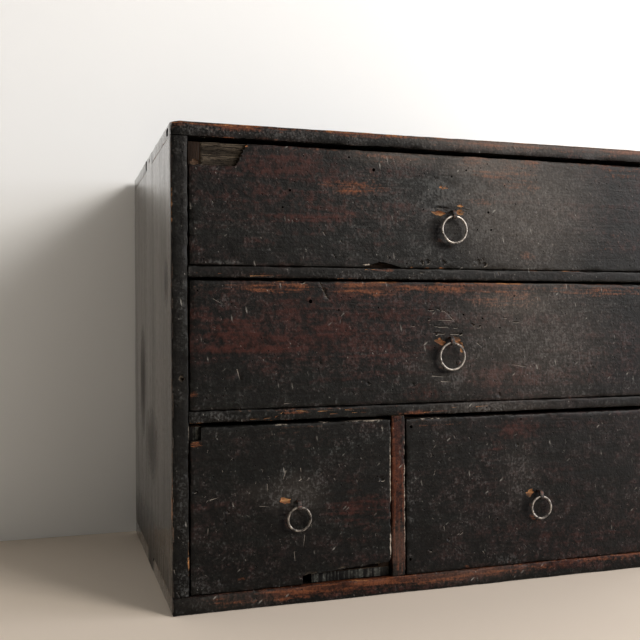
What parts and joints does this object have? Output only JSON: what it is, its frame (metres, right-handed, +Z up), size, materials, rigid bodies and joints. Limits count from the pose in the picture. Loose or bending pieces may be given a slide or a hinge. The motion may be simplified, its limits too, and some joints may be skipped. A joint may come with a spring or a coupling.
{
  "type": "chest of drawers",
  "caption": "Low old chest with full-width drawers over a narrow and a wide drawer, in worn dark lacquer, with finger-jointed corners and hanging iron ring pulls.",
  "frame": {"origin": "middle of the case's footprint, on its underside", "axes": "+Z up, -Y towards the front with the drawers, +X to the right as one faces the front"},
  "size_m": [0.488, 0.307, 0.4],
  "materials": {
    "lacquered_wood": "old black-brown lacquer, worn to red-brown at the edges, semi-matt",
    "bare_wood": "aged, unfinished",
    "bamboo": "whittled, darkened by age",
    "wrought_iron": "dark patina, rubbed bright where it is handled"
  },
  "bodies": {
    "case": {"case_left_side": "lacquered_wood", "case_right_side": "lacquered_wood", "case_top": "lacquered_wood", "case_bottom": "lacquered_wood", "upper_rail": "lacquered_wood", "lower_rail": "lacquered_wood", "upper_dust_board": "bare_wood", "lower_dust_board": "bare_wood", "partition": "lacquered_wood", "back_board_lower": "bare_wood", "back_board_middle": "bare_wood", "back_board_upper": "bare_wood", "case_nails": "bamboo", "back_nails": "bamboo"},
    "top_drawer": {"top_drawer_front": "lacquered_wood", "top_drawer_left_side": "bare_wood", "top_drawer_right_side": "bare_wood", "top_drawer_back": "bare_wood", "top_drawer_bottom": "bare_wood", "top_drawer_nails": "bamboo", "top_drawer_pull_pin": "wrought_iron"},
    "top_ring": {"top_drawer_ring": "wrought_iron"},
    "middle_drawer": {"middle_drawer_front": "lacquered_wood", "middle_drawer_left_side": "bare_wood", "middle_drawer_right_side": "bare_wood", "middle_drawer_back": "bare_wood", "middle_drawer_bottom": "bare_wood", "middle_drawer_nails": "bamboo", "middle_drawer_pull_pin": "wrought_iron"},
    "middle_ring": {"middle_drawer_ring": "wrought_iron"},
    "lower_left_drawer": {"lower_left_drawer_front": "lacquered_wood", "lower_left_drawer_left_side": "bare_wood", "lower_left_drawer_right_side": "bare_wood", "lower_left_drawer_back": "bare_wood", "lower_left_drawer_bottom": "bare_wood", "lower_left_drawer_nails": "bamboo", "lower_left_drawer_pull_pin": "wrought_iron"},
    "lower_left_ring": {"lower_left_drawer_ring": "wrought_iron"},
    "lower_right_drawer": {"lower_right_drawer_front": "lacquered_wood", "lower_right_drawer_left_side": "bare_wood", "lower_right_drawer_right_side": "bare_wood", "lower_right_drawer_back": "bare_wood", "lower_right_drawer_bottom": "bare_wood", "lower_right_drawer_nails": "bamboo", "lower_right_drawer_pull_pin": "wrought_iron"},
    "lower_right_ring": {"lower_right_drawer_ring": "wrought_iron"}
  },
  "joints": [
    {"name": "top_drawer_slide", "type": "slide", "parent": "case", "child": "top_drawer", "axis": [0, -1, 0], "range_m": [0, 0.22]},
    {"name": "top_ring_swing", "type": "hinge", "parent": "top_drawer", "child": "top_ring", "pos_m": [0.0055, -0.1547, 0.3295], "axis": [-1, 0, 0], "range_deg": [-8, 172]},
    {"name": "middle_drawer_slide", "type": "slide", "parent": "case", "child": "middle_drawer", "axis": [0, -1, 0], "range_m": [0, 0.22]},
    {"name": "middle_ring_swing", "type": "hinge", "parent": "middle_drawer", "child": "middle_ring", "pos_m": [0.00275, -0.1547, 0.21736], "axis": [-1, 0, 0], "range_deg": [-8, 172]},
    {"name": "lower_left_drawer_slide", "type": "slide", "parent": "case", "child": "lower_left_drawer", "axis": [0, -1, 0], "range_m": [0, 0.22]},
    {"name": "lower_left_ring_swing", "type": "hinge", "parent": "lower_left_drawer", "child": "lower_left_ring", "pos_m": [-0.13871, -0.1547, 0.08195], "axis": [-1, 0, 0], "range_deg": [-8, 172]},
    {"name": "lower_right_drawer_slide", "type": "slide", "parent": "case", "child": "lower_right_drawer", "axis": [0, -1, 0], "range_m": [0, 0.22]},
    {"name": "lower_right_ring_swing", "type": "hinge", "parent": "lower_right_drawer", "child": "lower_right_ring", "pos_m": [0.09117, -0.1547, 0.07609], "axis": [-1, 0, 0], "range_deg": [-8, 172]}
  ]
}
